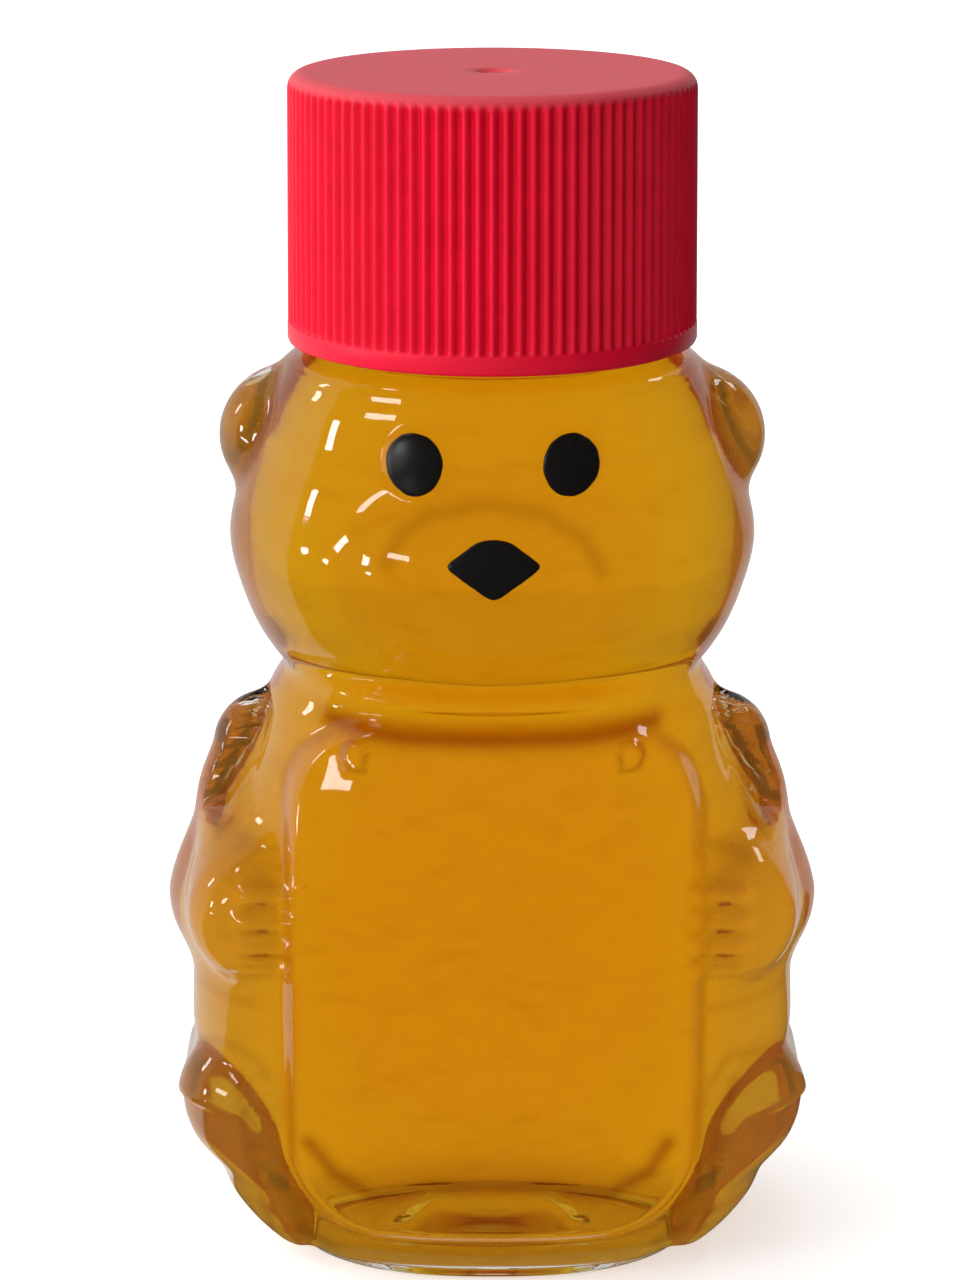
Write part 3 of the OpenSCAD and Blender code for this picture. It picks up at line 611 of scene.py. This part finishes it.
class Maker:
    """Builds one node tree: node() adds a node from its type, its settings and its inputs."""

    def __init__(self, tree):
        self.tree = tree
        tree.nodes.clear()

    def node(self, kind, settings=None, inputs=None, output=0):
        made = self.tree.nodes.new(kind)
        for key, value in (settings or {}).items():
            setattr(made, key, value)
        for key, value in (inputs or {}).items():
            target = made.inputs[key]
            if isinstance(value, Value):
                self.tree.links.new(value.socket, target)
            elif isinstance(value, tuple) and len(value) == 3 and target.type == "RGBA":
                target.default_value = (*value, 1)
            else:
                target.default_value = value
        return Value(self, made.outputs[output])

    def place(self):
        """Object coordinates, in metres."""
        return self.node("ShaderNodeTexCoord", output="Object")

    def parts(self, vector):
        """The three components of a vector."""
        made = self.node("ShaderNodeSeparateXYZ", None, {0: vector}).socket.node
        return [Value(self, s) for s in made.outputs]

    def noise(self, vector, scale, detail=3.0, rough=0.5):
        return self.node("ShaderNodeTexNoise", None,
                         {"Vector": vector, "Scale": scale, "Detail": detail, "Roughness": rough})

    def mix(self, factor, a, b):
        """Colour from a to b."""
        return self.node("ShaderNodeMix", {"data_type": "RGBA"}, {"Factor": factor, 6: a, 7: b}, output=2)

    def bump(self, height, distance, strength=1.0):
        return self.node("ShaderNodeBump", None, {"Strength": strength, "Distance": distance, "Height": height})


def material(name, build):
    """Material whose build function gets a Maker and returns the surface and, if there is one, the volume."""
    made = bpy.data.materials.new(name)
    made.use_nodes = True
    maker = Maker(made.node_tree)
    surface, volume = build(maker)
    inputs = {"Surface": surface}
    if volume is not None:
        inputs["Volume"] = volume
    out = made.node_tree.nodes.new("ShaderNodeOutputMaterial")
    for key, value in inputs.items():
        made.node_tree.links.new(value.socket, out.inputs[key])
    return made


def clear_plastic(index, waves):
    """Clear blown polyester: faint grey-amber tint and streaks, soft waves left by blowing, painted shade lines
    that darken the tint, and a clean gloss."""
    def build(m):
        p = m.place()
        slow = m.noise(p, 260.0, 2.0)
        fast = m.noise(p, 1100.0, 3.0)
        height = slow * 0.75 + fast * 0.25
        tint = m.mix(m.noise(p, 90.0), (0.985, 0.975, 0.955), (1.0, 0.995, 0.985))
        squeezed = m.node("ShaderNodeVectorMath", {"operation": "MULTIPLY"}, {0: p, 1: (1.0, 1.0, 2.2)})
        streaks = m.noise(squeezed, 330.0, 3.0)
        tint = m.mix(streaks.over(0.5, 0.75) * 0.3, tint, (0.85, 0.75, 0.6))
        # Painted shade: the "fold" attribute darkens the tint along the shade lines
        tint = m.mix(m.node("ShaderNodeAttribute", {"attribute_name": "fold"}, output=2), tint, (0.34, 0.14, 0.03))
        return m.node("ShaderNodeBsdfPrincipled", None, {
            "Base Color": tint, "Roughness": fast * 0.05, "IOR": index, "Transmission Weight": 1.0,
            "Specular IOR Level": 0.7, "Normal": m.bump(height, waves)}), None
    return build


# What light loses on a metre of honey: red, green, blue
HONEY_ABSORPTION = np.array([2.5, 33.0, 230.0])
# Index of refraction of the plastic and of the honey
PET_INDEX, HONEY_INDEX = 1.44, 1.38


def honey(index):
    """Clear amber liquid. The surface only bends light where it meets air; the colour is in the volume, and a
    fine haze at the wall scatters a share of the light."""
    def build(m):
        p = m.place()
        x, y, z = m.parts(p)
        side = x.absolute().over(11.5 * MM, 17.0 * MM)
        clear = m.node("ShaderNodeBsdfPrincipled", None, {
            "Base Color": (1.0, 0.985, 0.93), "Roughness": 0.0, "IOR": index, "Transmission Weight": 1.0})
        tint = m.mix(m.noise(p, 60.0, 2.0), (0.97, 0.58, 0.02), (0.99, 0.63, 0.03))
        tint = m.mix(side, tint, (0.92, 0.5, 0.07))
        leg = x.absolute().over(12.5 * MM, 14.5 * MM) * z.over(17.0 * MM, 13.0 * MM)
        cheek = x.absolute().over(13.0 * MM, 15.5 * MM) * z.over(41.0 * MM, 43.0 * MM)
        floor = z.over(3.2 * MM, 1.6 * MM)
        share = 0.18 + side * 0.14 + leg * 0.1 + cheek * 0.1 + floor * 0.25
        haze = m.node("ShaderNodeBsdfPrincipled", None, {
            "Base Color": tint, "Roughness": 1.0, "IOR": 1.0, "Specular IOR Level": 0.0})
        surface = m.node("ShaderNodeMixShader", None, {0: share, 1: clear, 2: haze})
        density = float(HONEY_ABSORPTION.max())
        colour = tuple(float(v) for v in 1 - HONEY_ABSORPTION / density)
        return surface, m.node("ShaderNodeVolumeAbsorption", None, {"Color": colour, "Density": density})
    return build


def cap_plastic(m):
    """Red moulded polypropylene: fine satin grain, with the rib crests and the top painted paler as a sheen."""
    p = m.place()
    x, y, z = m.parts(p)
    radius = (x * x + y * y) ** 0.5
    grain = m.noise(p, 5200.0, 2.0)
    mottle = m.noise(p, 420.0, 4.0)
    height = grain * 0.6 + mottle * 0.4
    # Painted sheen: rib crests paler than the grooves, and the top face paler pink as if mirroring the bright room
    crest = radius.over((CAP_R - 0.3) * MM, (CAP_R + 0.05) * MM)
    top = z.over((CAP_TOP_Z - 0.9) * MM, (CAP_TOP_Z - 0.2) * MM)
    base = m.mix(mottle.over(0.35, 0.7), (0.82, 0.0, 0.02), (0.92, 0.001, 0.03))
    base = m.mix(crest * 0.5, base, (1.0, 0.006, 0.05))
    base = m.mix(top * 0.7, base, (0.75, 0.1, 0.13))
    rough = 0.3 + grain * 0.12 + top * 0.12
    return m.node("ShaderNodeBsdfPrincipled", None, {
        "Base Color": base, "Roughness": rough, "IOR": 1.49, "Specular IOR Level": 0.24,
        "Normal": m.bump(height, 0.00003, 0.5)}), None


def black_ink(m):
    """Glossy black pad print with a few brownish pinholes."""
    p = m.place()
    specks = m.noise(p, 2600.0, 4.0, 0.7).over(0.62, 0.7)
    cloud = m.noise(p, 700.0, 3.0)
    base = m.mix(specks, (0.006, 0.004, 0.003), (0.035, 0.014, 0.008))
    return m.node("ShaderNodeBsdfPrincipled", None, {
        "Base Color": base, "Roughness": 0.26 + cloud * 0.16 + specks * 0.2, "IOR": 1.5,
        "Normal": m.bump(cloud, 0.00004, 0.6)}), None


def foam(m):
    """Off-white closed-cell foam of the liner."""
    p = m.place()
    cells = m.node("ShaderNodeTexVoronoi", None, {"Vector": p, "Scale": 2600.0})
    base = m.mix(cells.over(0.0, 0.6), (0.84, 0.83, 0.8), (0.93, 0.93, 0.91))
    return m.node("ShaderNodeBsdfPrincipled", None, {
        "Base Color": base, "Roughness": 0.75 + cells * 0.15, "Normal": m.bump(cells, 0.00005, 0.5)}), None


PET_AIR = material("clear polyester", clear_plastic(PET_INDEX, 0.000012))
PET_HONEY = material("polyester against honey", clear_plastic(PET_INDEX / HONEY_INDEX, 0.000004))
HONEY_BODY = material("honey at the wall", honey(1.0))
HONEY_OPEN = material("honey at the air", honey(HONEY_INDEX))
CAP_RED = material("red satin polypropylene", cap_plastic)
INK = material("black pad print", black_ink)
FOAM = material("liner foam", foam)

finish_piece(bottle_shell(), "bottle", ["bottle"], "clear_pet", PET_AIR, PET_HONEY)
finish_piece(honey_fill(), "bottle", ["honey"], "honey", HONEY_BODY, HONEY_OPEN)
finish_piece(print_piece("left_eye_print", (-EYE_X, EYE_Z), oval_outline(3.6, 3.9, 0.4)), "bottle", ["left_eye"],
             "black_ink", INK)
finish_piece(print_piece("right_eye_print", (EYE_X, EYE_Z), oval_outline(3.6, 3.9, 2.1)), "bottle", ["right_eye"],
             "black_ink", INK)
finish_piece(print_piece("nose_print", (0.05, 50.2), nose_outline()), "bottle", ["nose"], "black_ink", INK)
finish_piece(thread("neck_thread", NECK_R, 11.85, THREAD_Z, 2.3, 1.0), "bottle", [], "clear_pet", PET_AIR)
finish_piece(cap_shell(), "cap", ["cap"], "red_cap", CAP_RED)
finish_piece(thread("cap_thread", CAP_BORE_R, 10.95, THREAD_Z + PITCH / 2, 1.9, 0.7), "cap", [], "red_cap", CAP_RED)
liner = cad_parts["cap_liner"]
liner.data.materials.clear()
liner.data.materials.append(FOAM)


def wall_share(x, y):
    """1 in the level directions (x, y) of the bright wall, which stands from the left round to behind."""
    return (y - x * 0.39 - 0.39).over(-0.01, 0.04)


def build_world():
    """White for the camera, a pale backdrop for what is seen through clear pieces, a bright wall in a dim room
    for reflections, and a soft light from the left for the rest."""
    world = bpy.data.worlds.new("studio")
    bpy.context.scene.world = world
    world.use_nodes = True
    m = Maker(world.node_tree)
    direction = m.node("ShaderNodeTexCoord", output="Generated")
    path = m.node("ShaderNodeLightPath").socket.node
    camera = Value(m, path.outputs["Is Camera Ray"])
    through = Value(m, path.outputs["Is Transmission Ray"])
    glossy = Value(m, path.outputs["Is Glossy Ray"])
    x, y, z = m.parts(direction)
    ambient = (0.68 - x * 1.05 + z * 0.12).math("MAXIMUM", 0.0)
    room = 0.06 + wall_share(x, y) * (0.6 - x * 0.08) * (1 - z.over(0.05, 0.5) * 0.3)
    level = ambient * (1 - glossy) + room * glossy
    backdrop = 0.76 - x.over(-0.2, -0.75) * 0.08 - y.over(0.1, -0.5) * 0.1 - z.over(0.5, 0.9) * 0.3
    level = level * (1 - through) * (1 - camera) + through * (1 - camera) * backdrop + camera
    surface = m.node("ShaderNodeBackground", None, {"Color": level, "Strength": 1.0})
    out = world.node_tree.nodes.new("ShaderNodeOutputWorld")
    world.node_tree.links.new(surface.socket, out.inputs["Surface"])


def build_floor():
    """Pale floor: a plain sheet that is white where it is lit and keeps a soft shadow. Reflections, clear pieces
    and soft light meet it at levels that go on from the room's, with a painted shadow next to the bear for clear
    pieces."""
    size = 4.0
    mesh = bpy.data.meshes.new("floor")
    mesh.from_pydata([(-size, -size, 0), (size, -size, 0), (size, size, 0), (-size, size, 0)], [], [(0, 1, 2, 3)])
    floor = bpy.data.objects.new("floor", mesh)
    bpy.context.scene.collection.objects.link(floor)

    def build(m):
        path = m.node("ShaderNodeLightPath").socket.node
        x, y, z = m.parts(m.place())
        away = (x * x + y * y) ** 0.5 + 0.001
        across = x / away
        mirrored = 0.05 + wall_share(across, y / away) * (0.6 - across * 0.2)
        # Painted shadow: what is seen through clear pieces is darker next to the bear, and a little darker to the left
        under = (away.over(0.01, 0.04) * 0.1 + 0.76) * (1 - across.over(-0.1, -0.7) * 0.1)
        returned = 0.6 - across * 0.5
        paper = m.node("ShaderNodeBsdfDiffuse", None, {"Color": (0.9, 0.9, 0.9)})
        glow = m.node("ShaderNodeEmission", None, {"Color": (1.0, 1.0, 1.0), "Strength": 0.55})
        shader = m.node("ShaderNodeAddShader", None, {0: paper, 1: glow})
        for rays, level in (("Is Diffuse Ray", returned), ("Is Glossy Ray", mirrored),
                            ("Is Transmission Ray", under)):
            plain = m.node("ShaderNodeEmission", None, {"Color": level, "Strength": 1.0})
            shader = m.node("ShaderNodeMixShader", None, {0: Value(m, path.outputs[rays]), 1: shader, 2: plain})
        return shader, None
    floor.data.materials.append(material("pale floor", build))


# Point that the lamps face and their distance from it, in metres
LAMP_AIM = np.array([0, 0, 0.045])
LAMP_DISTANCE = 0.6


def lamp(name, direction, width, height, radiance):
    """Rectangular window lamp that faces the bear: its power is radiance times pi times its area. Lamps are
    mirrored in the gloss and not seen through clear pieces."""
    data = bpy.data.lights.new(name, "AREA")
    data.shape = "RECTANGLE"
    data.size = width
    data.size_y = height
    data.energy = radiance * math.pi * width * height
    made = bpy.data.objects.new(name, data)
    bpy.context.scene.collection.objects.link(made)
    d = np.array(direction, float)
    d = d / np.linalg.norm(d)
    made.location = LAMP_AIM + d * LAMP_DISTANCE
    made.rotation_euler = Vector(-d).to_track_quat("-Z", "Y").to_euler()
    made.visible_transmission = False


def build_camera():
    """Camera fitted to the photograph: a focal length of 4091 pixels for a picture 1280 pixels high."""
    data = bpy.data.cameras.new("camera")
    data.sensor_fit = "VERTICAL"
    data.sensor_height = 24.0
    data.lens = 4091 / 1280 * 24.0
    data.clip_start = 0.01
    camera = bpy.data.objects.new("camera", data)
    bpy.context.scene.collection.objects.link(camera)
    camera.location = (-0.00068, -0.265, 0.1126)
    camera.rotation_euler = (math.radians(90 - 15.15), 0, 0)
    bpy.context.scene.camera = camera


build_world()
build_floor()
lamp("window", (-0.985, -0.13, 0.11), 0.045, 0.07, 22.0)
lamp("low_pane", (-0.978, -0.19, -0.087), 0.05, 0.06, 22.0)
lamp("high_window", (-0.8, -0.5, 0.27), 0.18, 0.05, 14.0)
lamp("back_window", (-0.89, 0.27, 0.36), 0.05, 0.11, 12.0)
lamp("right_window", (0.62, 0.49, 0.62), 0.1, 0.07, 6.0)
lamp("low_window", (-0.85, -0.25, -0.46), 0.04, 0.04, 14.0)
lamp("roof_window", (-0.53, 0.03, 0.85), 0.07, 0.05, 10.0)
build_camera()
bpy.context.scene.view_settings.view_transform = "Standard"
# Light crosses shell, honey and shell again, and turns back inside, so it needs a long path
bpy.context.scene.cycles.max_bounces = 48
bpy.context.scene.cycles.transmission_bounces = 48
